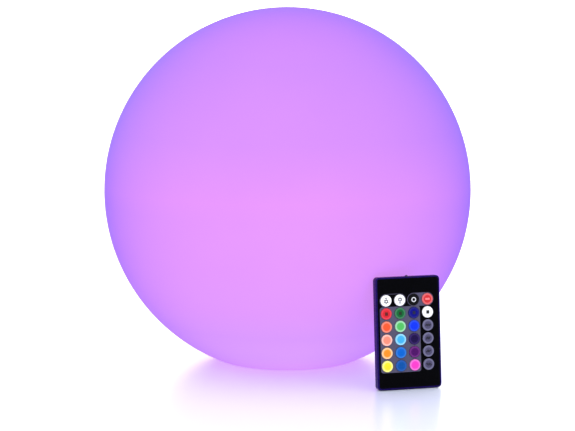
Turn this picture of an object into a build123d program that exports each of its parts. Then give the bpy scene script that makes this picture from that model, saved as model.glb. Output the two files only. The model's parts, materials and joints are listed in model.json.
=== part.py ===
from build123d import *
import math
import os

# Floating pool light: a moulded translucent globe that stands on a flat base ring, a light
# module screwed into its underside, and the 24-key handset that controls it, leaning on the
# globe. Millimetres, +Z up. The origin is the centre of the base ring, on the floor, and the
# handset stands on the -Y side. The light's electronics are all inside the module.

# ---- Globe ------------------------------------------------------------------------------
GLOBE_RADIUS = 150.0
GLOBE_WALL = 2.8
BASE_RING_RADIUS = 56.0         # where the sphere would meet the floor, before rounding
BASE_RING_ROUNDING = 12.0
RECESS_RADIUS = 45.0            # shallow recess that takes the module's flange
RECESS_DEPTH = 6.5
NECK_RADIUS = 38.5              # threaded neck inside the globe
NECK_TOP = 22.0
RECESS_RIM_ROUNDING = 1.0
RECESS_CORNER_ROUNDING = 0.8
GLOBE_CENTRE_Z = math.sqrt(GLOBE_RADIUS**2 - BASE_RING_RADIUS**2)

# ---- Screw thread between the neck and the module ----------------------------------------
THREAD_PITCH = 4.0
THREAD_TURNS = 2.0
THREAD_ROOT_WIDTH = 2.4
THREAD_TIP_WIDTH = 1.1
THREAD_EMBED = 0.3              # how far a ridge's root is sunk into its wall
NECK_THREAD_TIP = 37.2
NECK_THREAD_START = 12.0
MODULE_THREAD_TIP = 37.9
MODULE_THREAD_START = NECK_THREAD_START - THREAD_PITCH / 2

# ---- Light module: cup ---------------------------------------------------------------------
FLANGE_RADIUS = 44.0
FLANGE_BOTTOM = 1.0
FLANGE_TOP = 5.0
BARREL_RADIUS = 36.4
BARREL_WALL = 3.0
BARREL_TOP = 36.0
DISH_RADIUS = 33.0              # finger dish in the underside
FLOOR_BOTTOM = 10.0
FLOOR_TOP = 12.5
FLANGE_ROUNDING = 1.0
DISH_RIM_ROUNDING = 0.8
DISH_CORNER_ROUNDING = 1.5
GRIP_COUNT = 8                  # scallops round the dish's edge, for turning the module
GRIP_RADIUS = 3.2
GRIP_CENTRE = 34.5
GRIP_TOP = 4.0
GASKET_INNER = 39.5
GASKET_OUTER = 43.5
GASKET_GAP = 0.1
GASKET_THICKNESS = 1.2

# ---- Hanging ring ---------------------------------------------------------------------------
BAIL_WIRE = 1.5                 # wire radius
BAIL_HALF_WIDTH = 12.1
BAIL_REACH = 24.0
BAIL_AXIS_Z = 5.5
BAIL_END_X = 17.2
BAIL_END_BEND = 2.5
BAIL_TIP_BEND = 11.5
LUG_X = 16.1                    # middle of each pivot lug
LUG_THICKNESS = 3.0
LUG_RADIUS = 3.2
PIVOT_CLEARANCE = 0.08

# ---- Power button and charging socket --------------------------------------------------------
BUTTON_X = -25.0
BUTTON_RADIUS = 4.5
BUTTON_CLEARANCE = 0.3
BUTTON_PROUD = 1.4
BUTTON_ROUNDING = 0.8
BUTTON_FLANGE_RADIUS = 6.3
BUTTON_FLANGE_THICKNESS = 1.0
BUTTON_STEM_RADIUS = 2.0
BUTTON_STEM_TOP = 19.8
SWITCH_SIZE = 6.0
SWITCH_BOTTOM = 20.5
SWITCH_PLUNGER_RADIUS = 1.75
SWITCH_PLUNGER_TOP = 21.0
SWITCH_HOLE_TOP = 22.0
SOCKET_X = 25.0
SOCKET_BODY_RADIUS = 5.5
SOCKET_NOSE_RADIUS = 3.9
SOCKET_HOLE_RADIUS = 4.0
SOCKET_BORE_RADIUS = 2.75       # 5.5 mm barrel plug
SOCKET_PIN_RADIUS = 1.05        # 2.1 mm centre pin
SOCKET_BORE_TOP = 22.0
SOCKET_PIN_BOTTOM = 12.0
SOCKET_PIN_ROUNDING = 0.6
PLUG_CAP_RADIUS = 6.2
PLUG_CAP_THICKNESS = 2.0
PLUG_GAP = 0.1
PLUG_STEM_RADIUS = 2.6
PLUG_STEM_BORE = 1.4
PLUG_STEM_TOP = 17.0
PLUG_TAB_REACH = 10.0
PLUG_TAB_WIDTH = 5.0
PLUG_ROUNDING = 0.5

# ---- Light module: boards, battery and dome -----------------------------------------------------
SCREW_X = 23.8
SCREW_Y = 16.6
SCREW_SHANK_RADIUS = 1.25
SCREW_HOLE_RADIUS = 1.3
SCREW_HEAD_RADIUS = 2.3
SCREW_HEAD_HEIGHT = 1.5
SCREW_HEAD_ROUNDING = 0.6
SCREW_CROSS_LENGTH = 2.6
SCREW_CROSS_WIDTH = 0.6
SCREW_CROSS_DEPTH = 0.8
SCREW_BOTTOM = 15.5
BOSS_RADIUS = 2.8
BOSS_HOLE_BOTTOM = 15.0
BOARD_RADIUS = 31.5
BOARD_THICKNESS = 1.6
CONTROL_BOARD_Z = 24.0
LED_BOARD_Z = 31.0
CONTROL_CHIPS = (               # width, depth, height and centre of each larger part
    (8.0, 6.0, 1.6, 0.0, 10.0),      # controller
    (5.0, 4.0, 1.5, -12.0, 2.0),     # lamp driver
    (6.0, 6.0, 3.0, 10.0, 0.0),      # charging coil
    (9.0, 5.0, 4.5, 0.0, -14.0),     # connector
)
SPACER_RADIUS = 2.5
LED_COUNT = 12
LED_RING_RADIUS = 20.0
LED_SIZE = 5.0
LED_HEIGHT = 1.6
LED_WINDOW_RADIUS = 1.9
LED_WINDOW_DEPTH = 0.4
RECEIVER_WIDTH = 5.0
RECEIVER_DEPTH = 4.0
RECEIVER_HEIGHT = 6.0
RECEIVER_EYE_RADIUS = 1.9
PAD_THICKNESS = 1.0
PAD_WIDTH = 28.0
PAD_LENGTH = 44.0
BATTERY_WIDTH = 34.0
BATTERY_LENGTH = 50.0
BATTERY_THICKNESS = 9.5
BATTERY_ROUNDING = 2.0
LEAD_RADIUS = 0.6
LEAD_SPACING = 3.0
LEAD_REACH = 4.0
LEAD_BEND = 2.4
DOME_FLANGE_RADIUS = 36.2
DOME_SEAL_INNER = 33.6
DOME_SEAL_THICKNESS = 0.7
DOME_FLANGE_THICKNESS = 2.0
DOME_WALL = 2.0
DOME_RADIUS = 25.5
DOME_RISE = 15.2

# ---- Handset ---------------------------------------------------------------------------------
# Its own frame: +X across the face, +Y up from the bottom edge, +Z out of the face, with the
# origin at the middle of the bottom edge on the back face.
HANDSET_WIDTH = 52.0
HANDSET_LENGTH = 86.4
HANDSET_THICKNESS = 6.5
HANDSET_CORNER = 3.0
HANDSET_X = 92.1
HANDSET_Y = -123.9
HANDSET_YAW = 17.0              # degrees, its face turned towards +X
HANDSET_LEAN = 5.0              # degrees, its top leaning back towards the globe
CASE_WALL = 1.3
CASE_BACK = 0.6
CASE_SEAM = 3.6
CASE_FRONT_EDGE = 0.6
CASE_BACK_EDGE = 0.55
WALL_CUT = 4 * CASE_WALL        # how far a cutter for a side wall reaches, half on each side
SEAM_BEVEL = 0.12
FACE_UNDERSIDE = 5.4
OVERLAY_THICKNESS = 0.2
OVERLAY_INSET = 1.3
OVERLAY_CLEARANCE = 0.05
PEG_RADIUS = 1.5
PEG_X = 21.0
PEG_HEIGHTS = (30.0, 74.0)

KEY_NAMES = (
    ("key_brighter", "key_dimmer", "key_off", "key_on"),
    ("key_red", "key_green", "key_blue", "key_white"),
    ("key_orange_red", "key_light_green", "key_mid_blue", "key_flash"),
    ("key_salmon", "key_sky_blue", "key_indigo", "key_strobe"),
    ("key_amber", "key_azure", "key_purple", "key_fade"),
    ("key_yellow", "key_teal", "key_magenta", "key_smooth"),
)
KEY_COLUMN_PITCH = 11.2
KEY_ROW_PITCH = 10.05
KEY_GRID_OFFSET = -1.25         # the grid sits a little left of the face's middle
KEY_BOTTOM_MARGIN = 18.2        # bottom edge to the lowest row's centres
KEY_RADIUS = 4.35
KEY_HOLE_RADIUS = 4.6
KEY_COLLAR_RADIUS = 4.88
KEY_COLLAR_BOTTOM = 4.8
KEY_COLLAR_TOP = 5.1
KEY_PLUNGER_RADIUS = 1.2
KEY_PLUNGER_BOTTOM = 4.7
KEY_SHOULDER = 6.95
KEY_CROWN = 7.3

HANDSET_BOARD_BOTTOM = 3.7
HANDSET_BOARD_TOP = 4.2
HANDSET_BOARD_WIDTH = 47.8
HANDSET_BOARD_LOW = 2.2
HANDSET_BOARD_HIGH = HANDSET_LENGTH - 6.9
HANDSET_BOARD_CORNER = 1.0
HANDSET_CHIPS = (               # width, length, depth and sideways place on the back of the board
    (6.0, 5.0, 1.5, 0.0),            # encoder
    (5.0, 2.4, 1.8, 9.0),            # resonator
    (3.2, 1.8, 1.2, -9.0),           # capacitor
)
HANDSET_CHIPS_Y = 56.0
CONTACT_DOME_RADIUS = 2.4
CONTACT_DOME_HEIGHT = 0.2
EMITTER_RADIUS = 1.5
EMITTER_HOLE_RADIUS = 1.6
EMITTER_LOW = HANDSET_LENGTH - 6.3
EMITTER_TIP = HANDSET_LENGTH + 0.9
TRAY_WIDTH = 24.6
TRAY_SLOT_WIDTH = 25.2
TRAY_LOW = 0.1
TRAY_HIGH = 24.0
TRAY_BOTTOM = 0.7
TRAY_TOP = 3.5
TRAY_FLOOR = 0.25
TRAY_WINDOW_RADIUS = 8.0
CELL_RADIUS = 10.0              # CR2025
CELL_THICKNESS = 2.5
CELL_POCKET_RADIUS = 10.15
CELL_CENTRE = 12.4
CELL_BEVEL = 0.3
CONTACT_LEAF_X = 4.0
CONTACT_LEAF_Y = 24.7
CONTACT_LEAF_WIDTH = 3.0
CONTACT_LEAF_THICKNESS = 0.4

BASE = (Align.CENTER, Align.CENTER, Align.MIN)


# ---- Shared shapes -----------------------------------------------------------------------------
def post(radius, bottom, top, x=0.0, y=0.0):
    """An upright cylinder between two heights."""
    return Pos(x, y, bottom) * Cylinder(radius, top - bottom, align=BASE)


def block(width, depth, bottom, top, x=0.0, y=0.0):
    """An upright box between two heights, centred on (x, y)."""
    return Pos(x, y, bottom) * Box(width, depth, top - bottom, align=BASE)


def ring(outer, inner, bottom, top):
    """A plain ring about +Z between two heights."""
    return post(outer, bottom, top) - post(inner, bottom, top)


def rounded_plate(width, length, corner, bottom, top):
    """A plate with rounded corners, its lower edge on Y = 0."""
    outline = Pos(0, length / 2) * RectangleRounded(width, length, corner)
    return Pos(0, 0, bottom) * extrude(outline, top - bottom)


def round_corner(section, radius_from_axis, height, rounding):
    """A section in the radius-height plane with one of its corners rounded."""
    corner = section.vertices().sort_by_distance((radius_from_axis, height, 0))[0]
    return fillet(corner, rounding)


def turned(section):
    """The solid swept by turning a radius-height section about +Z."""
    return revolve(Plane.XZ * section, Axis.Z)


def thread_ridge(root_radius, tip_radius, start_height):
    """A right-hand helical ridge that stands from root_radius to tip_radius."""
    outward = 1 if tip_radius > root_radius else -1
    embedded_root = root_radius - outward * THREAD_EMBED
    path = Helix(THREAD_PITCH, THREAD_PITCH * THREAD_TURNS, embedded_root, center=(0, 0, start_height))
    reach = tip_radius - embedded_root
    section = make_face(Polyline(
        (0, -THREAD_ROOT_WIDTH / 2),
        (reach, -THREAD_TIP_WIDTH / 2),
        (reach, THREAD_TIP_WIDTH / 2),
        (0, THREAD_ROOT_WIDTH / 2),
        close=True,
    ))
    section_plane = Plane(origin=path @ 0, x_dir=(1, 0, 0), z_dir=(0, -1, 0))
    return sweep(section_plane * section, path=path, is_frenet=True)


def screw_places():
    """The four screw positions of the light module."""
    return [(side_x * SCREW_X, side_y * SCREW_Y) for side_x in (-1, 1) for side_y in (-1, 1)]


# ---- Globe and module cup -------------------------------------------------------------------------
def make_globe():
    """The moulded ball: sphere, flat ring, recess and threaded neck in one skin."""
    inner_radius = GLOBE_RADIUS - GLOBE_WALL
    inner_flat = math.sqrt(inner_radius**2 - (GLOBE_CENTRE_Z - GLOBE_WALL)**2)
    outer_cut = math.degrees(math.asin(BASE_RING_RADIUS / GLOBE_RADIUS))
    inner_cut = math.degrees(math.asin(inner_flat / inner_radius))
    seat_top = RECESS_DEPTH + GLOBE_WALL
    outer_arc = CenterArc((0, GLOBE_CENTRE_Z), GLOBE_RADIUS, 90, outer_cut - 180)
    inner_arc = CenterArc((0, GLOBE_CENTRE_Z), inner_radius, inner_cut - 90, 180 - inner_cut)
    underside = Polyline(
        (BASE_RING_RADIUS, 0),
        (RECESS_RADIUS, 0),
        (RECESS_RADIUS, RECESS_DEPTH),
        (NECK_RADIUS, RECESS_DEPTH),
        (NECK_RADIUS, NECK_TOP),
        (NECK_RADIUS + GLOBE_WALL, NECK_TOP),
        (NECK_RADIUS + GLOBE_WALL, seat_top),
        (RECESS_RADIUS + GLOBE_WALL, seat_top),
        (RECESS_RADIUS + GLOBE_WALL, GLOBE_WALL),
        (inner_flat, GLOBE_WALL),
    )
    crown = Line((0, GLOBE_CENTRE_Z + inner_radius), (0, GLOBE_CENTRE_Z + GLOBE_RADIUS))
    section = make_face(outer_arc + underside + inner_arc + crown)
    section = round_corner(section, BASE_RING_RADIUS, 0, BASE_RING_ROUNDING)
    section = round_corner(section, inner_flat, GLOBE_WALL, BASE_RING_ROUNDING - GLOBE_WALL)
    section = round_corner(section, RECESS_RADIUS, 0, RECESS_RIM_ROUNDING)
    section = round_corner(section, RECESS_RADIUS, RECESS_DEPTH, RECESS_CORNER_ROUNDING)
    return turned(section) + thread_ridge(NECK_RADIUS, NECK_THREAD_TIP, NECK_THREAD_START)


def make_light_base():
    """The module's cup: flange, dish, threaded barrel, pivot lugs and screw bosses."""
    bore = BARREL_RADIUS - BARREL_WALL
    section = make_face(Polyline(
        (DISH_RADIUS, FLANGE_BOTTOM),
        (FLANGE_RADIUS, FLANGE_BOTTOM),
        (FLANGE_RADIUS, FLANGE_TOP),
        (BARREL_RADIUS, FLANGE_TOP),
        (BARREL_RADIUS, BARREL_TOP),
        (bore, BARREL_TOP),
        (bore, FLOOR_TOP),
        (0, FLOOR_TOP),
        (0, FLOOR_BOTTOM),
        (DISH_RADIUS, FLOOR_BOTTOM),
        close=True,
    ))
    section = round_corner(section, FLANGE_RADIUS, FLANGE_BOTTOM, FLANGE_ROUNDING)
    section = round_corner(section, DISH_RADIUS, FLANGE_BOTTOM, DISH_RIM_ROUNDING)
    section = round_corner(section, DISH_RADIUS, FLOOR_BOTTOM, DISH_CORNER_ROUNDING)
    cup = turned(section) + thread_ridge(BARREL_RADIUS, MODULE_THREAD_TIP, MODULE_THREAD_START)
    for turn in range(GRIP_COUNT):
        angle = math.radians((turn + 0.5) * 360 / GRIP_COUNT)
        grip_x = GRIP_CENTRE * math.cos(angle)
        grip_y = GRIP_CENTRE * math.sin(angle)
        cup -= post(GRIP_RADIUS, 0, GRIP_TOP, grip_x, grip_y)
    for side in (-1, 1):
        cup += pivot_lug(side * LUG_X)
    for x, y in screw_places():
        cup += post(BOSS_RADIUS, FLOOR_TOP, CONTROL_BOARD_Z, x, y)
        cup -= post(SCREW_HOLE_RADIUS, BOSS_HOLE_BOTTOM, CONTROL_BOARD_Z, x, y)
    cup -= post(BUTTON_RADIUS + BUTTON_CLEARANCE, FLOOR_BOTTOM, FLOOR_TOP, BUTTON_X)
    cup -= post(SOCKET_HOLE_RADIUS, FLOOR_BOTTOM, FLOOR_TOP, SOCKET_X)
    return cup


def pivot_lug(x):
    """One ear under the floor that holds an end of the hanging ring."""
    along_x = Pos(x, 0, BAIL_AXIS_Z) * Rot(0, 90, 0)
    ear = block(LUG_THICKNESS, 2 * LUG_RADIUS, BAIL_AXIS_Z, FLOOR_BOTTOM, x)
    ear += along_x * Cylinder(LUG_RADIUS, LUG_THICKNESS)
    return ear - along_x * Cylinder(BAIL_WIRE + PIVOT_CLEARANCE, LUG_THICKNESS)


def make_base_gasket():
    """The flat sealing ring between the module's flange and the globe's seat."""
    bottom = FLANGE_TOP + GASKET_GAP
    return ring(GASKET_OUTER, GASKET_INNER, bottom, bottom + GASKET_THICKNESS)


def make_hanging_ring():
    """The wire ring, folded into the dish, with its ends turned out into the lugs."""
    path = FilletPolyline(
        (BAIL_END_X, 0, BAIL_AXIS_Z),
        (BAIL_HALF_WIDTH, 0, BAIL_AXIS_Z),
        (BAIL_HALF_WIDTH, BAIL_REACH, BAIL_AXIS_Z),
        (-BAIL_HALF_WIDTH, BAIL_REACH, BAIL_AXIS_Z),
        (-BAIL_HALF_WIDTH, 0, BAIL_AXIS_Z),
        (-BAIL_END_X, 0, BAIL_AXIS_Z),
        radius=(BAIL_END_BEND, BAIL_TIP_BEND, BAIL_TIP_BEND, BAIL_END_BEND),
    )
    return sweep(Plane(origin=path @ 0, z_dir=path % 0) * Circle(BAIL_WIRE), path=path)


# ---- Button and charging socket ----------------------------------------------------------------------
def make_power_button():
    """The button cap with its inner flange and stem, standing a little into the dish."""
    face = FLOOR_BOTTOM - BUTTON_PROUD
    flange_bottom = FLOOR_TOP + BUTTON_CLEARANCE
    flange_top = flange_bottom + BUTTON_FLANGE_THICKNESS
    cap = post(BUTTON_RADIUS, face, flange_bottom)
    cap = fillet(cap.edges().sort_by(Axis.Z)[0], BUTTON_ROUNDING)
    button = cap + post(BUTTON_FLANGE_RADIUS, flange_bottom, flange_top)
    button += post(BUTTON_STEM_RADIUS, flange_top, BUTTON_STEM_TOP)
    return Pos(BUTTON_X, 0, 0) * button


def make_tact_switch():
    """The switch housing under the control board, open at its plunger."""
    housing = block(SWITCH_SIZE, SWITCH_SIZE, SWITCH_BOTTOM, CONTROL_BOARD_Z, BUTTON_X)
    hole_radius = SWITCH_PLUNGER_RADIUS + BUTTON_CLEARANCE
    return housing - post(hole_radius, SWITCH_BOTTOM, SWITCH_HOLE_TOP, BUTTON_X)


def make_switch_plunger():
    """The switch's own plunger, which the button's stem pushes."""
    return post(SWITCH_PLUNGER_RADIUS, BUTTON_STEM_TOP, SWITCH_PLUNGER_TOP, BUTTON_X)


def make_charging_socket():
    """The barrel socket: nose in the floor, body on top of it, bore open to the dish."""
    socket = post(SOCKET_NOSE_RADIUS, FLOOR_BOTTOM, FLOOR_TOP)
    socket += post(SOCKET_BODY_RADIUS, FLOOR_TOP, CONTROL_BOARD_Z)
    socket -= post(SOCKET_BORE_RADIUS, FLOOR_BOTTOM, SOCKET_BORE_TOP)
    return Pos(SOCKET_X, 0, 0) * socket


def make_charging_pin():
    """The socket's centre pin."""
    pin = post(SOCKET_PIN_RADIUS, SOCKET_PIN_BOTTOM, SOCKET_BORE_TOP)
    pin = fillet(pin.edges().sort_by(Axis.Z)[0], SOCKET_PIN_ROUNDING)
    return Pos(SOCKET_X, 0, 0) * pin


def make_port_plug():
    """The soft plug: a capped hollow stem with a pull tab."""
    cap_top = FLOOR_BOTTOM - PLUG_GAP
    cap_bottom = cap_top - PLUG_CAP_THICKNESS
    cap = post(PLUG_CAP_RADIUS, cap_bottom, cap_top)
    cap += block(PLUG_TAB_WIDTH, PLUG_TAB_REACH, cap_bottom, cap_top, 0, PLUG_TAB_REACH / 2)
    cap = fillet(cap.edges().group_by(Axis.Z)[0], PLUG_ROUNDING)
    stem = post(PLUG_STEM_RADIUS, cap_top, PLUG_STEM_TOP)
    return Pos(SOCKET_X, 0, 0) * (cap + stem - post(PLUG_STEM_BORE, cap_top, PLUG_STEM_TOP))


# ---- Boards, battery and dome ---------------------------------------------------------------------------
def make_board(bottom):
    """A round circuit board with the four screw holes."""
    board = post(BOARD_RADIUS, bottom, bottom + BOARD_THICKNESS)
    for x, y in screw_places():
        board -= post(SCREW_HOLE_RADIUS, bottom, bottom + BOARD_THICKNESS, x, y)
    return board


def make_control_chips():
    """The larger parts on the control board: controller, driver, coil and connector."""
    top = CONTROL_BOARD_Z + BOARD_THICKNESS
    return [block(width, depth, top, top + height, x, y) for width, depth, height, x, y in CONTROL_CHIPS]


def make_battery_pad():
    """Foam tape that holds the battery on the cup's floor."""
    return block(PAD_WIDTH, PAD_LENGTH, FLOOR_TOP, FLOOR_TOP + PAD_THICKNESS)


def make_battery_pack():
    """The lithium pouch cell in its wrap."""
    bottom = FLOOR_TOP + PAD_THICKNESS
    pouch = block(BATTERY_WIDTH, BATTERY_LENGTH, bottom, bottom + BATTERY_THICKNESS)
    return fillet(pouch.edges(), BATTERY_ROUNDING)


def make_battery_leads():
    """The two short wires from the end of the battery up to the control board."""
    height = FLOOR_TOP + PAD_THICKNESS + BATTERY_THICKNESS / 2
    leads = []
    for side in (-1, 1):
        x = side * LEAD_SPACING
        path = FilletPolyline(
            (x, BATTERY_LENGTH / 2, height),
            (x, BATTERY_LENGTH / 2 + LEAD_REACH, height),
            (x, BATTERY_LENGTH / 2 + LEAD_REACH, CONTROL_BOARD_Z),
            radius=LEAD_BEND,
        )
        leads.append(sweep(Plane(origin=path @ 0, z_dir=path % 0) * Circle(LEAD_RADIUS), path=path))
    return leads


def make_board_spacers():
    """The four tubes that hold the lamp board above the control board."""
    bottom = CONTROL_BOARD_Z + BOARD_THICKNESS
    spacers = []
    for x, y in screw_places():
        tube = post(SPACER_RADIUS, bottom, LED_BOARD_Z, x, y)
        spacers.append(tube - post(SCREW_HOLE_RADIUS, bottom, LED_BOARD_Z, x, y))
    return spacers


def make_rgb_leds():
    """The ring of square colour lamps, each with a round window."""
    bottom = LED_BOARD_Z + BOARD_THICKNESS
    top = bottom + LED_HEIGHT
    lamps = []
    for turn in range(LED_COUNT):
        lamp = block(LED_SIZE, LED_SIZE, bottom, top, LED_RING_RADIUS)
        lamp -= post(LED_WINDOW_RADIUS, top - LED_WINDOW_DEPTH, top, LED_RING_RADIUS)
        lamps.append(Rot(0, 0, turn * 360 / LED_COUNT) * lamp)
    return lamps


def make_ir_receiver():
    """The infra-red receiver that stands in the middle of the lamp board."""
    bottom = LED_BOARD_Z + BOARD_THICKNESS
    body = block(RECEIVER_WIDTH, RECEIVER_DEPTH, bottom, bottom + RECEIVER_HEIGHT)
    return body + Pos(0, 0, bottom + RECEIVER_HEIGHT) * Sphere(RECEIVER_EYE_RADIUS)


def make_dome_seal():
    """The sealing ring between the cup's rim and the dome."""
    return ring(DOME_FLANGE_RADIUS, DOME_SEAL_INNER, BARREL_TOP, BARREL_TOP + DOME_SEAL_THICKNESS)


def make_lens_dome():
    """The clear dome over the lamps, with posts that press the lamp board down."""
    flange_bottom = BARREL_TOP + DOME_SEAL_THICKNESS
    flange_top = flange_bottom + DOME_FLANGE_THICKNESS
    apex = flange_top + DOME_RISE
    outer_curve = (DOME_RADIUS**2 + DOME_RISE**2) / (2 * DOME_RISE)
    inner_curve = outer_curve - DOME_WALL
    centre_height = apex - outer_curve
    outer_foot = math.degrees(math.atan2(flange_top - centre_height, DOME_RADIUS))
    inner_foot = math.degrees(math.asin((flange_bottom - centre_height) / inner_curve))
    inner_radius = inner_curve * math.cos(math.radians(inner_foot))
    section = make_face(
        Polyline(
            (inner_radius, flange_bottom),
            (DOME_FLANGE_RADIUS, flange_bottom),
            (DOME_FLANGE_RADIUS, flange_top),
            (DOME_RADIUS, flange_top),
        )
        + CenterArc((0, centre_height), outer_curve, outer_foot, 90 - outer_foot)
        + Line((0, apex), (0, apex - DOME_WALL))
        + CenterArc((0, centre_height), inner_curve, 90, inner_foot - 90)
    )
    dome = turned(section)
    post_bottom = LED_BOARD_Z + BOARD_THICKNESS
    for x, y in screw_places():
        dome += post(BOSS_RADIUS, post_bottom, flange_bottom, x, y)
        dome -= post(SCREW_HOLE_RADIUS, post_bottom, flange_top, x, y)
    return dome


def make_dome_screws():
    """The four long screws through the dome, both boards and the spacers."""
    head_bottom = BARREL_TOP + DOME_SEAL_THICKNESS + DOME_FLANGE_THICKNESS
    head_top = head_bottom + SCREW_HEAD_HEIGHT
    screws = []
    for x, y in screw_places():
        screw = post(SCREW_HEAD_RADIUS, head_bottom, head_top)
        screw = fillet(screw.edges().sort_by(Axis.Z)[-1], SCREW_HEAD_ROUNDING)
        cross_bottom = head_top - SCREW_CROSS_DEPTH
        screw -= block(SCREW_CROSS_LENGTH, SCREW_CROSS_WIDTH, cross_bottom, head_top)
        screw -= block(SCREW_CROSS_WIDTH, SCREW_CROSS_LENGTH, cross_bottom, head_top)
        screw += post(SCREW_SHANK_RADIUS, SCREW_BOTTOM, head_bottom)
        screws.append(Pos(x, y, 0) * screw)
    return screws


# ---- Handset ----------------------------------------------------------------------------------------------
def key_places():
    """Each key's name with its centre on the face."""
    places = []
    for row, names in enumerate(KEY_NAMES):
        y = KEY_BOTTOM_MARGIN + (len(KEY_NAMES) - 1 - row) * KEY_ROW_PITCH
        for column, name in enumerate(names):
            x = KEY_GRID_OFFSET + (column - (len(names) - 1) / 2) * KEY_COLUMN_PITCH
            places.append((name, x, y))
    return places


def case_cavity(bottom, top):
    """The space inside the handset's side walls."""
    width = HANDSET_WIDTH - 2 * CASE_WALL
    length = HANDSET_LENGTH - 2 * CASE_WALL
    return Pos(0, CASE_WALL, 0) * rounded_plate(width, length, HANDSET_CORNER - CASE_WALL, bottom, top)


def emitter_hole():
    """The round hole for the infra-red emitter in the top edge, half in each case."""
    hole = Cylinder(EMITTER_HOLE_RADIUS, WALL_CUT)
    return Pos(0, HANDSET_LENGTH, CASE_SEAM) * Rot(90, 0, 0) * hole


def make_handset_front():
    """The front case: side walls and the face with its 24 key holes."""
    case = rounded_plate(HANDSET_WIDTH, HANDSET_LENGTH, HANDSET_CORNER, CASE_SEAM, HANDSET_THICKNESS)
    case = fillet(case.edges().group_by(Axis.Z)[-1], CASE_FRONT_EDGE)
    case = chamfer(case.edges().group_by(Axis.Z)[0], SEAM_BEVEL)
    case -= case_cavity(CASE_SEAM, FACE_UNDERSIDE)
    case -= overlay_blank(OVERLAY_CLEARANCE)
    for _, x, y in key_places():
        case -= post(KEY_HOLE_RADIUS, FACE_UNDERSIDE, HANDSET_THICKNESS, x, y)
    return case - emitter_hole()


def overlay_blank(growth=0.0):
    """The overlay film's outline as a thin plate, optionally a little larger all round."""
    inset = OVERLAY_INSET - growth
    plate = rounded_plate(
        HANDSET_WIDTH - 2 * inset,
        HANDSET_LENGTH - 2 * inset,
        HANDSET_CORNER - inset,
        HANDSET_THICKNESS - OVERLAY_THICKNESS,
        HANDSET_THICKNESS,
    )
    return Pos(0, inset, 0) * plate


def make_handset_overlay():
    """The glossy printed film stuck in the recess of the face."""
    film = overlay_blank()
    for _, x, y in key_places():
        film -= post(KEY_HOLE_RADIUS, FACE_UNDERSIDE, HANDSET_THICKNESS, x, y)
    return film


def make_handset_back():
    """The back case: a shallow tray with board pegs and the battery slot."""
    case = rounded_plate(HANDSET_WIDTH, HANDSET_LENGTH, HANDSET_CORNER, 0, CASE_SEAM)
    case = fillet(case.edges().group_by(Axis.Z)[0], CASE_BACK_EDGE)
    case = chamfer(case.edges().group_by(Axis.Z)[-1], SEAM_BEVEL)
    case -= case_cavity(CASE_BACK, CASE_SEAM)
    for x in (-PEG_X, PEG_X):
        for y in PEG_HEIGHTS:
            case += post(PEG_RADIUS, CASE_BACK, HANDSET_BOARD_BOTTOM, x, y)
    case -= block(TRAY_SLOT_WIDTH, WALL_CUT, CASE_BACK, CASE_SEAM)
    return case - emitter_hole()


def make_key():
    """A domed key with the collar that keeps it under the face."""
    section = make_face(
        Polyline(
            (0, KEY_CROWN),
            (0, KEY_PLUNGER_BOTTOM),
            (KEY_PLUNGER_RADIUS, KEY_PLUNGER_BOTTOM),
            (KEY_PLUNGER_RADIUS, KEY_COLLAR_BOTTOM),
            (KEY_COLLAR_RADIUS, KEY_COLLAR_BOTTOM),
            (KEY_COLLAR_RADIUS, KEY_COLLAR_TOP),
            (KEY_RADIUS, KEY_COLLAR_TOP),
            (KEY_RADIUS, KEY_SHOULDER),
        )
        + TangentArc((0, KEY_CROWN), (KEY_RADIUS, KEY_SHOULDER), tangent=(1, 0))
    )
    return turned(section)


def make_handset_board():
    """The handset's circuit board."""
    outline = rounded_plate(
        HANDSET_BOARD_WIDTH,
        HANDSET_BOARD_HIGH - HANDSET_BOARD_LOW,
        HANDSET_BOARD_CORNER,
        HANDSET_BOARD_BOTTOM,
        HANDSET_BOARD_TOP,
    )
    return Pos(0, HANDSET_BOARD_LOW, 0) * outline


def make_handset_chips():
    """The encoder chip, resonator and capacitor on the back of the board."""
    top = HANDSET_BOARD_BOTTOM
    chips = []
    for width, length, depth, x in HANDSET_CHIPS:
        chips.append(block(width, length, top - depth, top, x, HANDSET_CHIPS_Y))
    return chips


def make_contact_domes():
    """The snap contacts on the board, one under each key."""
    top = HANDSET_BOARD_TOP + CONTACT_DOME_HEIGHT
    return [post(CONTACT_DOME_RADIUS, HANDSET_BOARD_TOP, top, x, y) for _, x, y in key_places()]


def make_ir_emitter():
    """The infra-red lamp that looks out of the top edge."""
    shoulder = EMITTER_TIP - EMITTER_RADIUS
    lamp = post(EMITTER_RADIUS, 0, shoulder - EMITTER_LOW)
    lamp += Pos(0, 0, shoulder - EMITTER_LOW) * Sphere(EMITTER_RADIUS)
    return Pos(0, EMITTER_LOW, CASE_SEAM) * Rot(-90, 0, 0) * lamp


def make_battery_tray():
    """The slide-out tray for the coin cell."""
    length = TRAY_HIGH - TRAY_LOW
    tray = block(TRAY_WIDTH, length, TRAY_BOTTOM, TRAY_TOP, 0, TRAY_LOW + length / 2)
    tray -= post(CELL_POCKET_RADIUS, TRAY_BOTTOM + TRAY_FLOOR, TRAY_TOP, 0, CELL_CENTRE)
    return tray - post(TRAY_WINDOW_RADIUS, TRAY_BOTTOM, TRAY_TOP, 0, CELL_CENTRE)


def make_coin_cell():
    """The coin cell in the tray."""
    bottom = TRAY_BOTTOM + TRAY_FLOOR
    cell = post(CELL_RADIUS, bottom, bottom + CELL_THICKNESS, 0, CELL_CENTRE)
    return chamfer(cell.edges().group_by(Axis.Z)[-1], CELL_BEVEL)


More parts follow.
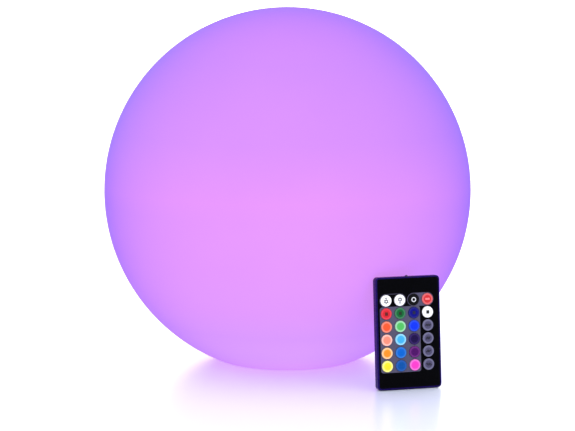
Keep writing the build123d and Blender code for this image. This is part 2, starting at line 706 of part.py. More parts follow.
def make_battery_contacts():
    """The two contact leaves that stand between the board and the end of the tray."""
    leaves = []
    for x in (-CONTACT_LEAF_X, CONTACT_LEAF_X):
        leaves.append(block(CONTACT_LEAF_WIDTH, CONTACT_LEAF_THICKNESS,
                            TRAY_BOTTOM, HANDSET_BOARD_BOTTOM, x, CONTACT_LEAF_Y))
    return leaves


def handset_location():
    """The handset's place: on its bottom edge, leaning back against the globe."""
    yaw = math.radians(HANDSET_YAW)
    lean = math.radians(HANDSET_LEAN)
    across = (math.cos(yaw), math.sin(yaw), 0)
    outward = (math.sin(yaw) * math.cos(lean), -math.cos(yaw) * math.cos(lean), math.sin(lean))
    return Plane(origin=(HANDSET_X, HANDSET_Y, 0), x_dir=across, z_dir=outward).location


def make_handset_nodes():
    """Every piece of the handset, standing in its place beside the globe."""
    nodes = {
        "handset_front_case": make_handset_front(),
        "handset_back_case": make_handset_back(),
        "handset_overlay": make_handset_overlay(),
        "handset_board": make_handset_board(),
        "handset_chips": make_handset_chips(),
        "key_contacts": make_contact_domes(),
        "ir_emitter": make_ir_emitter(),
        "battery_tray": make_battery_tray(),
        "coin_cell": make_coin_cell(),
        "battery_contacts": make_battery_contacts(),
    }
    for name, x, y in key_places():
        nodes[name] = Pos(x, y, 0) * make_key()
    place = handset_location()
    placed = {}
    for name, piece in nodes.items():
        group = piece if isinstance(piece, list) else [piece]
        placed[name] = [place * solid for solid in group]
    return placed


def make_light_nodes():
    """Every piece of the floating light."""
    return {
        "globe": make_globe(),
        "light_base": make_light_base(),
        "base_gasket": make_base_gasket(),
        "hanging_ring": make_hanging_ring(),
        "power_button": make_power_button(),
        "switch_plunger": make_switch_plunger(),
        "tact_switch": make_tact_switch(),
        "charging_socket": make_charging_socket(),
        "charging_pin": make_charging_pin(),
        "port_plug": make_port_plug(),
        "battery_pad": make_battery_pad(),
        "battery_pack": make_battery_pack(),
        "battery_leads": make_battery_leads(),
        "control_board": make_board(CONTROL_BOARD_Z),
        "control_chips": make_control_chips(),
        "board_spacers": make_board_spacers(),
        "led_board": make_board(LED_BOARD_Z),
        "rgb_leds": make_rgb_leds(),
        "ir_receiver": make_ir_receiver(),
        "dome_seal": make_dome_seal(),
        "lens_dome": make_lens_dome(),
        "dome_screws": make_dome_screws(),
    }


def write_nodes(nodes):
    """Writes each node's piece, or group of separate pieces, to its own STEP file."""
    os.makedirs("parts", exist_ok=True)
    for name, piece in nodes.items():
        shape = Compound(children=piece) if isinstance(piece, list) else piece
        shape.label = name
        export_step(shape, f"parts/{name}.step")


write_nodes(make_light_nodes())
write_nodes(make_handset_nodes())
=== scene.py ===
"""Looks for the floating pool light: a glowing ball on a flat ring, with its keypad handset.

Metres, +Z up. The handset's own frame has X across its face, Y up from its bottom edge and Z out
of the face; HANDSET is the matrix from that frame to the scene's.
"""
import json
import math

import bmesh
import bpy
from mathutils import Matrix, Vector


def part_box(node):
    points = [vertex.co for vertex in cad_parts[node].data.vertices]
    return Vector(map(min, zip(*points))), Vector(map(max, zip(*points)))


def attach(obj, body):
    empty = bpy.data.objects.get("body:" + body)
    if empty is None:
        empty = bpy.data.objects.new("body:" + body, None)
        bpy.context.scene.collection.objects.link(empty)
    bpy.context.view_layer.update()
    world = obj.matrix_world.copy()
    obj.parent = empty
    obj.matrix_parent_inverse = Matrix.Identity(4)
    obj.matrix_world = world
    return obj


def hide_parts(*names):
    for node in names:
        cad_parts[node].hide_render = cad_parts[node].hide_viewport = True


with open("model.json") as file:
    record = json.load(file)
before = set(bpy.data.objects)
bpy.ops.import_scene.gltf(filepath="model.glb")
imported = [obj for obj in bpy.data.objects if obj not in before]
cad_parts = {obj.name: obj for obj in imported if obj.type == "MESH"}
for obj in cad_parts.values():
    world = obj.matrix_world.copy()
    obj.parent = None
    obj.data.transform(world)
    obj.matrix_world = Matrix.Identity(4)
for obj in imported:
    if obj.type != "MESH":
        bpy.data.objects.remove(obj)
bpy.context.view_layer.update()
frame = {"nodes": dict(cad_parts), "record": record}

MM = 0.001
NODES = frame["nodes"]
JOINTS = {joint["name"]: joint for joint in frame["record"]["behaviour"]["joints"]}

# ---- Globe sizes ---------------------------------------------------------------------------------
GLOBE_RADIUS = min(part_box("globe")[1].xy)
GLOBE_WALL = 2.8 * MM
GLOBE_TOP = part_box("globe")[1].z
GLOBE_CENTRE = GLOBE_TOP - GLOBE_RADIUS
RING_ROUNDING = 12 * MM
RECESS_RADIUS = 45 * MM
RECESS_DEPTH = 6.5 * MM
NECK_RADIUS = 38.5 * MM
NECK_TOP = 22 * MM
THREAD_PITCH = 4 * MM
THREAD_TURNS = 2
THREAD_START = 12 * MM
THREAD_TIP = 37.2 * MM
THREAD_HALF_WIDTHS = (1.2 * MM, 0.55 * MM)   # at the root and at the tip
GLOBE_SEGMENTS = 192
THREAD_STEPS_PER_TURN = 96
OUTSIDE_STEPS = 140        # along the meridian, outside and inside
INSIDE_STEPS = 70
RING_ROUNDING_STEPS = 12
RECESS_EDGE = 1.0 * MM     # rounding of the recess's rim and corner
RECESS_EDGE_STEPS = 5

# ---- Handset frame and sizes ---------------------------------------------------------------------
OUTWARD = -Vector(JOINTS["key_red_press"]["axis"])
UPWARD = -Vector(JOINTS["battery_tray_slide"]["axis"])
ACROSS = UPWARD.cross(OUTWARD)


def reach(node, direction):
    """How far a CAD node reaches along a direction: lowest and highest."""
    distances = [direction.dot(vertex.co) for vertex in NODES[node].data.vertices]
    return min(distances), max(distances)


def middle(node, direction):
    """The middle of a CAD node's reach along a direction."""
    low, high = reach(node, direction)
    return (low + high) / 2


HANDSET_ORIGIN = (
    ACROSS * middle("handset_back_case", ACROSS)
    + UPWARD * reach("handset_back_case", UPWARD)[0]
    + OUTWARD * reach("handset_back_case", OUTWARD)[0]
)
HANDSET = Matrix((
    (ACROSS.x, UPWARD.x, OUTWARD.x, HANDSET_ORIGIN.x),
    (ACROSS.y, UPWARD.y, OUTWARD.y, HANDSET_ORIGIN.y),
    (ACROSS.z, UPWARD.z, OUTWARD.z, HANDSET_ORIGIN.z),
    (0, 0, 0, 1),
))
FACE_Z = reach("handset_overlay", OUTWARD)[1] - OUTWARD.dot(HANDSET_ORIGIN)
KEY_TOP_Z = reach("key_red", OUTWARD)[1] - OUTWARD.dot(HANDSET_ORIGIN)
KEY_RADIUS = 4.35 * MM
KEY_HOLE_RADIUS = 4.6 * MM
KEY_SEGMENTS = 48
KEY_SKIRT_DEPTH = 1.4 * MM         # how far a key reaches below the face
KEY_RIM_DROP = 0.18 * MM           # its rim below its top
KEY_RIM_ROUNDING = 0.25 * MM
KEY_GROOVE_START = 0.62 * MM       # in from the key's side
KEY_GROOVE_END = 0.8 * MM
KEY_GROOVE_DEPTH = 0.07 * MM
DOME_RADIUS = KEY_RADIUS - 0.95 * MM
DOME_RISE = 0.26 * MM
DOME_RINGS = 7
PRINT_LIFT = 0.03 * MM
ZONE_MARGIN = KEY_RADIUS + 0.75 * MM   # a zone's edge beyond the centre of its outer keys
ZONE_CORNER = 2 * MM
PILL_RADIUS = KEY_RADIUS + 0.7 * MM    # half the height of the zones round two keys
PILL_ROUNDNESS = 0.98
OUTLINE_WIDTH = 0.32 * MM
PRINT_CLEARANCE = 0.02 * MM


# ---- Material building ---------------------------------------------------------------------------
class Surface:
    """A material with one Principled shader, and short calls for the nodes that feed it."""

    def __init__(self, name, **settings):
        self.material = bpy.data.materials.new(name)
        self.material.use_nodes = True
        self.tree = self.material.node_tree
        self.shader = self.tree.nodes["Principled BSDF"]
        for label, value in settings.items():
            self.set(label.replace("_", " ").title().replace("Ior", "IOR"), value)

    def set(self, label, value):
        """Sets a socket to a value or colour, or links it to another node's output."""
        socket = self.shader.inputs[label]
        if isinstance(value, bpy.types.NodeSocket):
            self.tree.links.new(value, socket)
        elif isinstance(value, tuple):
            socket.default_value = (*value, 1)
        else:
            socket.default_value = value

    def add(self, kind, inputs=None, **settings):
        """A new node, with its inputs linked or set."""
        node = self.tree.nodes.new(kind)
        for name, value in settings.items():
            setattr(node, name, value)
        for label, value in (inputs or {}).items():
            if isinstance(value, bpy.types.NodeSocket):
                self.tree.links.new(value, node.inputs[label])
            else:
                node.inputs[label].default_value = value
        return node

    def place(self, stretch=(1, 1, 1)):
        """The object's own coordinates, stretched along its axes."""
        coordinates = self.add("ShaderNodeTexCoord").outputs["Object"]
        if stretch == (1, 1, 1):
            return coordinates
        return self.add("ShaderNodeMapping", {"Vector": coordinates, "Scale": stretch}).outputs[0]

    def noise(self, size, detail=3.0, stretch=(1, 1, 1)):
        """Noise from 0 to 1 with features of about a size in metres."""
        inputs = {"Vector": self.place(stretch), "Scale": 1 / size, "Detail": detail}
        return self.add("ShaderNodeTexNoise", inputs).outputs["Fac"]

    def grade(self, factor, *stops):
        """A colour ramp from (position, colour) stops."""
        node = self.add("ShaderNodeValToRGB", {"Fac": factor})
        elements = node.color_ramp.elements
        while len(elements) < len(stops):
            elements.new(1.0)
        for element, (position, colour) in zip(elements, stops):
            element.position = position
            element.color = (*colour, 1)
        return node.outputs["Color"]

    def between(self, factor, low, high):
        """A number that follows a 0 to 1 factor from low to high."""
        inputs = {"Value": factor, "To Min": low, "To Max": high}
        return self.add("ShaderNodeMapRange", inputs).outputs["Result"]

    def bump(self, height, depth):
        """Raises the surface by a height from 0 to 1, over a depth in metres."""
        inputs = {"Height": height, "Distance": depth, "Strength": 1.0}
        self.set("Normal", self.add("ShaderNodeBump", inputs).outputs["Normal"])


def linear(red, green, blue):
    """A display colour, 0 to 255, as linear light."""
    def channel(value):
        share = value / 255
        return share / 12.92 if share <= 0.04045 else ((share + 0.055) / 1.055) ** 2.4
    return channel(red), channel(green), channel(blue)


def shade(colour, factor):
    """A colour made lighter or darker by a factor."""
    return tuple(min(1.0, channel * factor) for channel in colour)


def moulded(name, colour, roughness, grain=0.35 * MM, depth=0.02 * MM):
    """Moulded plastic or rubber: slightly uneven colour and gloss over a fine grain."""
    surface = Surface(name)
    cloud = surface.noise(12 * MM)
    colours = surface.grade(cloud, (0.3, shade(colour, 0.92)), (0.7, shade(colour, 1.06)))
    surface.set("Base Color", colours)
    surface.set("Roughness", surface.between(surface.noise(5 * MM), roughness - 0.06, roughness + 0.06))
    surface.bump(surface.noise(grain), depth)
    return surface.material


def metal(name, colour, roughness):
    """Drawn or stamped metal: streaks along one axis, with duller patches."""
    surface = Surface(name, metallic=1.0)
    streaks = surface.noise(0.4 * MM, 2.0, (1, 1, 0.05))
    colours = surface.grade(streaks, (0.3, shade(colour, 0.8)), (0.7, shade(colour, 1.08)))
    surface.set("Base Color", colours)
    surface.set("Roughness", surface.between(surface.noise(4 * MM), roughness - 0.08, roughness + 0.12))
    surface.bump(streaks, 0.01 * MM)
    return surface.material


def circuit(name, mask, copper):
    """A circuit board: solder mask with raised tracks and small pads."""
    surface = Surface(name)
    bricks = surface.add("ShaderNodeTexBrick", {
        "Vector": surface.place(), "Scale": 260.0, "Mortar Size": 0.035, "Mortar Smooth": 0.4,
        "Brick Width": 1.6, "Row Height": 0.55,
    }).outputs["Fac"]
    surface.set("Base Color", surface.grade(bricks, (0.2, mask), (0.8, copper)))
    surface.set("Roughness", surface.between(bricks, 0.45, 0.3))
    surface.bump(bricks, 0.03 * MM)
    return surface.material


# ---- Mesh building -------------------------------------------------------------------------------
MERGE_DISTANCE = 0.0005 * MM
ON_AXIS = 1e-9             # a radius below this is a pole


def finish_mesh(name, mesh, material, matrix=None, smooth_angle=40):
    """Cleans a bmesh up and turns it into an object with smooth shading split at sharp edges."""
    bmesh.ops.remove_doubles(mesh, verts=mesh.verts, dist=MERGE_DISTANCE)
    bmesh.ops.recalc_face_normals(mesh, faces=mesh.faces)
    data = bpy.data.meshes.new(name)
    mesh.to_mesh(data)
    mesh.free()
    data.materials.append(material)
    data.shade_smooth()
    data.set_sharp_from_angle(angle=math.radians(smooth_angle))
    thing = bpy.data.objects.new(name, data)
    bpy.context.collection.objects.link(thing)
    if matrix is not None:
        thing.matrix_world = matrix
    return thing


def lathe(mesh, profile, segments):
    """Turns a list of (radius, height) points about Z. Points on the axis become poles."""
    turn = [2 * math.pi * step / segments for step in range(segments)]
    rings = []
    for radius, height in profile:
        if radius < ON_AXIS:
            rings.append([mesh.verts.new((0, 0, height))])
        else:
            rings.append([mesh.verts.new((radius * math.cos(a), radius * math.sin(a), height)) for a in turn])
    for first, second in zip(rings, rings[1:]):
        bridge(mesh, first, second)


def bridge(mesh, first, second):
    """Faces between two closed loops, either of which may be a single pole."""
    count = max(len(first), len(second))
    for step in range(count):
        after = (step + 1) % count
        corners = [first[step % len(first)], first[after % len(first)],
                   second[after % len(second)], second[step % len(second)]]
        unique = list(dict.fromkeys(corners))
        if len(unique) > 2:
            mesh.faces.new(unique)


def thicken(mesh, faces, height):
    """Makes faces into a solid by raising a copy of them."""
    grown = bmesh.ops.extrude_face_region(mesh, geom=faces)
    risen = [item for item in grown["geom"] if isinstance(item, bmesh.types.BMVert)]
    bmesh.ops.translate(mesh, verts=risen, vec=(0, 0, height))
    # The new walls come in an order that changes from run to run, so the faces get a fixed one.
    ordered = sorted(mesh.faces, key=lambda face: tuple(face.calc_center_median()))
    for index, face in enumerate(ordered):
        face.index = index
    mesh.faces.sort()


def arc(centre_r, centre_z, radius, start, end, steps):
    """Points on an arc in the radius-height plane, angles in degrees from +radius."""
    points = []
    for step in range(steps + 1):
        angle = math.radians(start + (end - start) * step / steps)
        points.append((centre_r + radius * math.cos(angle), centre_z + radius * math.sin(angle)))
    return points


# ---- Globe ---------------------------------------------------------------------------------------
def skin_arc(radius, floor_height, rounding, steps):
    """A sphere's meridian from its pole down to a flat floor, with the corner rounded."""
    rounding_height = floor_height + rounding
    gap = radius - rounding
    rounding_r = math.sqrt(gap**2 - (GLOBE_CENTRE - rounding_height)**2)
    contact = math.degrees(math.atan2(rounding_height - GLOBE_CENTRE, rounding_r))
    sphere = arc(0, GLOBE_CENTRE, radius, 90, contact, steps)
    sphere[0] = (0, GLOBE_CENTRE + radius)
    return sphere + arc(rounding_r, rounding_height, rounding, contact, -90, RING_ROUNDING_STEPS)[1:]


def thread_ridge(mesh):
    """The helical ridge inside the neck, as a strip of trapezoid sections."""
    steps = THREAD_TURNS * THREAD_STEPS_PER_TURN
    root, tip = THREAD_HALF_WIDTHS
    sections = []
    for step in range(steps + 1):
        angle = 2 * math.pi * THREAD_TURNS * step / steps
        height = THREAD_START + THREAD_PITCH * THREAD_TURNS * step / steps
        corners = [(NECK_RADIUS, -root), (THREAD_TIP, -tip), (THREAD_TIP, tip), (NECK_RADIUS, root)]
        sections.append([
            mesh.verts.new((r * math.cos(angle), r * math.sin(angle), height + z)) for r, z in corners
        ])
    for first, second in zip(sections, sections[1:]):
        bridge(mesh, first, second)
    mesh.faces.new(sections[0])
    mesh.faces.new(sections[-1])


def glowing_skin():
    """Translucent moulded skin lit from inside: pinker low down, with an edge that darkens less there."""
    surface = Surface(
        "glowing_skin", roughness=0.5, specular_ior_level=0.12, emission_strength=1.51,
        coat_weight=1.0, coat_ior=1.04, coat_roughness=0.6,
    )
    height = surface.add("ShaderNodeSeparateXYZ", {"Vector": surface.place()}).outputs["Z"]
    share = surface.add("ShaderNodeMapRange", {"Value": height, "From Max": GLOBE_TOP}).outputs["Result"]
    glow = surface.grade(
        share,
        (0.0, (0.79, 0.455, 0.52)),
        (0.05, (0.64, 0.378, 0.50)),
        (0.12, (0.528, 0.292, 0.48)),
        (0.20, (0.55, 0.259, 0.455)),
        (0.32, (0.566, 0.238, 0.437)),
        (0.50, (0.605, 0.229, 0.433)),
        (0.65, (0.495, 0.204, 0.433)),
        (0.85, (0.48, 0.201, 0.433)),
        (1.0, (0.55, 0.202, 0.433)),
    )
    surface.set("Coat Tint", surface.grade(
        share, (0.12, (0.80, 0.745, 1.0)), (0.45, (0.689, 0.695, 1.0))))
    cloud = surface.between(surface.noise(70 * MM, 2.0), 0.965, 1.035)
    surface.set("Emission Color", surface.add(
        "ShaderNodeVectorMath", {0: glow, 1: cloud}, operation="MULTIPLY").outputs[0])
    surface.set("Base Color", surface.grade(
        surface.noise(50 * MM), (0.3, (0.235, 0.088, 0.32)), (0.7, (0.245, 0.092, 0.34))))
    surface.bump(surface.noise(1.6 * MM, 2.0), 0.012 * MM)
    return surface.material


def make_globe():
    """The ball's whole moulded skin: outside, base ring, recess, neck, thread and inside."""
    mesh = bmesh.new()
    seat_top = RECESS_DEPTH + GLOBE_WALL
    neck_outer = NECK_RADIUS + GLOBE_WALL
    recess_outer = RECESS_RADIUS + GLOBE_WALL
    edge = RECESS_EDGE
    profile = skin_arc(GLOBE_RADIUS, 0.0, RING_ROUNDING, OUTSIDE_STEPS)
    profile += arc(RECESS_RADIUS + edge, edge, edge, -90, -180, RECESS_EDGE_STEPS)
    profile += arc(RECESS_RADIUS - edge, RECESS_DEPTH - edge, edge, 0, 90, RECESS_EDGE_STEPS)
    profile += [(NECK_RADIUS, RECESS_DEPTH), (NECK_RADIUS, NECK_TOP), (neck_outer, NECK_TOP)]
    profile += [(neck_outer, seat_top), (recess_outer, seat_top), (recess_outer, GLOBE_WALL)]
    inside = skin_arc(GLOBE_RADIUS - GLOBE_WALL, GLOBE_WALL, RING_ROUNDING - GLOBE_WALL, INSIDE_STEPS)
    profile += list(reversed(inside))
    lathe(mesh, profile, GLOBE_SEGMENTS)
    thread_ridge(mesh)
    globe = finish_mesh("globe_skin", mesh, glowing_skin())
    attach(globe, "globe")
    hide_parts("globe")


# ---- Handset keys --------------------------------------------------------------------------------
# Key colours, centre and rim: the paler rim colours are a painted sheen on the keys' rounded rims.
GREY_KEY = (linear(78, 74, 102), linear(112, 110, 138))
KEY_COLOURS = {   # centre and rim
    "key_brighter": (linear(250, 250, 252), linear(255, 255, 255)),
    "key_dimmer": (linear(250, 250, 252), linear(255, 255, 255)),
    "key_off": (linear(4, 4, 6), linear(8, 8, 12)),
    "key_on": (linear(205, 50, 55), linear(222, 105, 108)),
    "key_red": (linear(210, 40, 50), linear(226, 62, 76)),
    "key_green": (linear(14, 100, 48), linear(66, 124, 88)),
    "key_blue": (linear(5, 8, 125), linear(36, 36, 120)),
    "key_white": (linear(250, 250, 252), linear(255, 255, 255)),
    "key_orange_red": (linear(255, 88, 48), linear(236, 138, 118)),
    "key_light_green": (linear(82, 186, 94), linear(160, 216, 172)),
    "key_mid_blue": (linear(14, 52, 232), linear(44, 76, 214)),
    "key_flash": GREY_KEY,
    "key_salmon": (linear(250, 140, 116), linear(255, 192, 178)),
    "key_sky_blue": (linear(66, 172, 224), linear(148, 214, 250)),
    "key_indigo": (linear(26, 8, 66), linear(52, 34, 96)),
    "key_strobe": GREY_KEY,
    "key_amber": (linear(250, 144, 40), linear(255, 204, 150)),
    "key_azure": (linear(6, 98, 198), linear(52, 118, 202)),
    "key_purple": (linear(74, 12, 94), linear(108, 44, 122)),
    "key_fade": GREY_KEY,
    "key_yellow": (linear(246, 230, 48), linear(255, 250, 142)),
    "key_teal": (linear(8, 80, 158), linear(42, 92, 170)),
    "key_magenta": (linear(242, 62, 190), linear(236, 118, 208)),
    "key_smooth": GREY_KEY,
}


def key_profile():
    """Radius and height points of a key: skirt, rounded rim, shallow groove and domed middle."""
    rim_top = KEY_TOP_Z - KEY_RIM_DROP
    rim_outer = KEY_RADIUS - KEY_RIM_ROUNDING
    foot = FACE_Z - KEY_SKIRT_DEPTH
    points = [(0, foot), (KEY_RADIUS, foot)]
    points += arc(rim_outer, rim_top - KEY_RIM_ROUNDING, KEY_RIM_ROUNDING, 0, 90, 6)
    points.append((KEY_RADIUS - KEY_GROOVE_START, rim_top))
    points.append((KEY_RADIUS - KEY_GROOVE_END, rim_top - KEY_GROOVE_DEPTH))
    for step in range(DOME_RINGS + 1):
        radius = DOME_RADIUS * (1 - step / DOME_RINGS)
        points.append((radius, dome_height(radius)))
    return points


def dome_height(radius):
    """Height of a key's domed middle at a radius."""
    return KEY_TOP_Z - DOME_RISE * (radius / DOME_RADIUS) ** 2


def key_plastic(name, centre, rim):
    """Glossy key: its colour in the middle, a little darker at the very middle and at the edge, paler towards
    the rim as a painted sheen, with faint finger wear.
    """
    surface = Surface(name, specular_ior_level=0.08)
    flat = surface.place((1, 1, 0))
    distance = surface.add("ShaderNodeVectorMath", {0: flat}, operation="LENGTH").outputs["Value"]
    share = surface.add("ShaderNodeMapRange", {"Value": distance, "From Max": KEY_RADIUS}).outputs["Result"]
    # Painted sheen: the rim stops are paler than the centre, as light on the rounded rim would make them.
    surface.set("Base Color", surface.grade(
        share, (0.0, shade(centre, 0.94)), (0.62, centre), (0.8, rim), (1.0, shade(rim, 0.9))))
    surface.set("Roughness", surface.between(surface.noise(1.2 * MM), 0.2, 0.34))
    surface.bump(surface.noise(0.15 * MM), 0.002 * MM)
    return surface.material


def key_matrix(node):
    """The place of a key: its axis where it meets the handset's back plane."""
    x = middle(node, ACROSS) - ACROSS.dot(HANDSET_ORIGIN)
    y = middle(node, UPWARD) - UPWARD.dot(HANDSET_ORIGIN)
    return HANDSET @ Matrix.Translation((x, y, 0))


def make_keys():
    """The 24 domed keys, each on its own body."""
    profile = key_profile()
    for node, (centre, rim) in KEY_COLOURS.items():
        mesh = bmesh.new()
        lathe(mesh, profile, KEY_SEGMENTS)
        plastic = key_plastic(node + "_plastic", centre, rim)
        key = finish_mesh(node + "_cap", mesh, plastic, key_matrix(node), smooth_angle=60)
        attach(key, node)
        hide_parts(node)


# ---- Printed icons on the keys -------------------------------------------------------------------
ICON_LIFT = 0.02 * MM
ICON_SINK = 0.08 * MM
MODE_ICONS = {"key_flash": "blink", "key_strobe": "pulse", "key_fade": "ramp", "key_smooth": "sine"}
ICON_INKS = {
    "key_brighter": linear(52, 52, 58), "key_dimmer": linear(52, 50, 56),
    "key_off": linear(225, 225, 228), "key_on": linear(255, 128, 128),
    "key_red": linear(95, 0, 4), "key_green": linear(0, 40, 10),
    "key_blue": linear(0, 0, 52), "key_white": linear(8, 8, 10),
}
MODE_INK = linear(14, 12, 34)

# Icon sizes, in millimetres on the key.
STROKE_STEP = 0.3          # longest piece of a stroke, so that it follows the dome
SAME_POINT = 1e-6          # a stroke whose ends are nearer than this is closed
SUN_RADIUS = 1.05
SUN_LINE = 0.7
RAY_COUNT = 6
RAY_GAP = 0.4
RAY_LINE = 0.6
LONG_RAY = 0.5
SHORT_RAY = 0.3
ICON_SHIFT = 0.5           # how far the sun moves to make room for its arrowhead
ARROW_TIP = 2.35
ARROW_DEPTH = 0.65
ARROW_HALF_WIDTH = 0.8
ARROW_LINE = 0.6
OFF_RADIUS = 1.55
OFF_LINE = 0.7
ON_BAR = (3.4, 1.5)
COLOUR_DOT = (2.4, 2.6)
WAVE_LINE = 0.9
WAVE_REACH = 2
WAVE_HEIGHT = 0.75


def circle_points(radius, count=28, centre=(0, 0)):
    """Points on a circle, closed by repeating the first."""
    turn = [2 * math.pi * step / count for step in range(count + 1)]
    return [(centre[0] + radius * math.cos(a), centre[1] + radius * math.sin(a)) for a in turn]


def stroke(mesh, points, width):
    """A thin ribbon along points in millimetres, laid over a key's dome."""
    dense = []
    for (x0, y0), (x1, y1) in zip(points, points[1:]):
        parts = max(1, round(math.hypot(x1 - x0, y1 - y0) / STROKE_STEP))
        dense += [(x0 + (x1 - x0) * k / parts, y0 + (y1 - y0) * k / parts) for k in range(parts)]
    dense.append(points[-1])
    closed = math.dist(dense[0], dense[-1]) < SAME_POINT
    if closed:
        dense.pop()
    count = len(dense)
    loops = []
    for index, (x, y) in enumerate(dense):
        before = dense[(index - 1) % count] if closed or index > 0 else (x, y)
        after = dense[(index + 1) % count] if closed or index < count - 1 else (x, y)
        heading = Vector((after[0] - before[0], after[1] - before[1])).normalized()
        side = Vector((-heading.y, heading.x)) * width / 2
        loops.append(ribbon_section(mesh, Vector((x, y)), side))
    for first, second in zip(loops, loops[1:]):
        bridge(mesh, first, second)
    if closed:
        bridge(mesh, loops[-1], loops[0])
    else:
        mesh.faces.new(loops[0])
        mesh.faces.new(loops[-1])


def dome_vertex(mesh, x, y, lift):
    """A vertex at a lift over a key's dome, from a place in millimetres."""
    return mesh.verts.new((x * MM, y * MM, dome_height(math.hypot(x, y) * MM) + lift))


def ribbon_section(mesh, centre, side):
    """Four corners of a ribbon's section: two just above the dome and two sunk into it."""
    left, right = centre - side, centre + side
    return [
        dome_vertex(mesh, *left, ICON_LIFT),
        dome_vertex(mesh, *right, ICON_LIFT),
        dome_vertex(mesh, *right, -ICON_SINK),
        dome_vertex(mesh, *left, -ICON_SINK),
    ]


def filled_box(mesh, width, height, steps=8):
    """A filled rectangle in millimetres, laid over a key's dome in a grid so that it follows it."""
    shares = [step / steps - 0.5 for step in range(steps + 1)]
    rows = []
    for up in shares:
        rows.append([dome_vertex(mesh, width * across, height * up, -ICON_SINK) for across in shares])
    faces = []
    for lower, upper in zip(rows, rows[1:]):
        for step in range(steps):
            faces.append(mesh.faces.new((lower[step], lower[step + 1], upper[step + 1], upper[step])))
    thicken(mesh, faces, ICON_SINK + ICON_LIFT)


def sun(mesh, ray, side):
    """A small ring with rays, and an arrowhead above it (side 1) or below it (side -1)."""
    middle_y = -side * ICON_SHIFT
    stroke(mesh, circle_points(SUN_RADIUS, 24, (0, middle_y)), SUN_LINE)
    inner = SUN_RADIUS + RAY_GAP
    outer = inner + ray
    for index in range(RAY_COUNT):
        angle = 2 * math.pi * (index + 0.5) / RAY_COUNT
        start = (inner * math.cos(angle), inner * math.sin(angle) + middle_y)
        end = (outer * math.cos(angle), outer * math.sin(angle) + middle_y)
        stroke(mesh, [start, end], RAY_LINE)
    tip = side * ARROW_TIP
    foot = tip - side * ARROW_DEPTH
    stroke(mesh, [(-ARROW_HALF_WIDTH, foot), (0, tip)], ARROW_LINE)
    stroke(mesh, [(0, tip), (ARROW_HALF_WIDTH, foot)], ARROW_LINE)


def wave(kind):
    """Points of a mode icon: blink, pulse, ramp or sine, across a key."""
    shapes = {
        "blink": [(-2, -0.6), (-1.2, 0.8), (-0.4, -0.6), (0.4, 0.8), (1.2, -0.6), (2, 0.8)],
        "pulse": [(-2.1, -0.6), (-1.2, -0.6), (-1.2, 0.7), (-0.2, 0.7), (-0.2, -0.6), (0.8, -0.6),
                  (0.8, 0.7), (1.8, 0.7)],
        "ramp": [(-2, -0.7), (-0.1, 0.8), (-0.1, -0.7), (1.8, 0.8)],
    }
    if kind in shapes:
        return shapes[kind]
    steps = [index / 20 for index in range(21)]
    return [
        (WAVE_REACH * (2 * share - 1), WAVE_HEIGHT * math.sin(4 * math.pi * share)) for share in steps
    ]


def draw_icon(mesh, node):
    """The icon that belongs on a key, or False if the key has none."""
    if node == "key_brighter":
        sun(mesh, LONG_RAY, 1)
    elif node == "key_dimmer":
        sun(mesh, SHORT_RAY, -1)
    elif node == "key_off":
        stroke(mesh, circle_points(OFF_RADIUS), OFF_LINE)
    elif node == "key_on":
        filled_box(mesh, *ON_BAR)
    elif node in ("key_red", "key_green", "key_blue", "key_white"):
        filled_box(mesh, *COLOUR_DOT)
    elif node in MODE_ICONS:
        stroke(mesh, wave(MODE_ICONS[node]), WAVE_LINE)
    else:
        return False
    return True


def ink(name, colour):
    """Screen-printed ink: slightly rough and a little uneven where it lies thin."""
    surface = Surface(name, specular_ior_level=0.3)
    patches = surface.noise(0.5 * MM)
    surface.set("Base Color", surface.grade(patches, (0.3, shade(colour, 0.85)), (0.7, shade(colour, 1.1))))
    surface.set("Roughness", surface.between(patches, 0.35, 0.5))
    return surface.material


def make_icons():
    """The generic icons, each riding on its key."""
    for node in KEY_COLOURS:
        mesh = bmesh.new()
        if not draw_icon(mesh, node):
            mesh.free()
            continue
        colour = ICON_INKS.get(node, MODE_INK)
        icon = finish_mesh(node + "_icon", mesh, ink(node + "_ink", colour), key_matrix(node))
        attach(icon, node)


# ---- Handset case and printed zones --------------------------------------------------------------
def rounded_outline(low, high, corner):
    """Points round a rectangle with round corners."""
    points = []
    for (cx, cy), start in (
        ((high[0] - corner, low[1] + corner), -90),
        ((high[0] - corner, high[1] - corner), 0),
        ((low[0] + corner, high[1] - corner), 90),
        ((low[0] + corner, low[1] + corner), 180),
    ):
        points += arc(cx, cy, corner, start, start + 90, 8)
    return points


def printed_plate(name, outline, holes, material):
    """A thin print layer on the face, open round the keys."""
    mesh = bmesh.new()
    edges = []
    for loop in [outline] + holes:
        corners = [mesh.verts.new((x, y, FACE_Z)) for x, y in loop]
        edges += [mesh.edges.new(pair) for pair in zip(corners, corners[1:] + corners[:1])]
    bmesh.ops.triangle_fill(mesh, edges=edges, use_beauty=True)
    thicken(mesh, list(mesh.faces), PRINT_LIFT)
    plate = finish_mesh(name, mesh, material, HANDSET)
    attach(plate, "handset")


def key_centre(node):
    """A key's centre on the face, in the handset's own frame."""
    return (HANDSET.inverted() @ key_matrix(node)).to_translation().xy


def key_holes(nodes):
    """Round holes for the print layer, one for each key."""
    radius = KEY_HOLE_RADIUS + PRINT_CLEARANCE
    return [circle_points(radius, 40, key_centre(node))[:-1] for node in nodes]


def zone_corners(first, last, margin):
    """Opposite corners of the rectangle round two keys, with a margin from their centres."""
    reach_out = Vector((margin, margin))
    return key_centre(first) - reach_out, key_centre(last) + reach_out


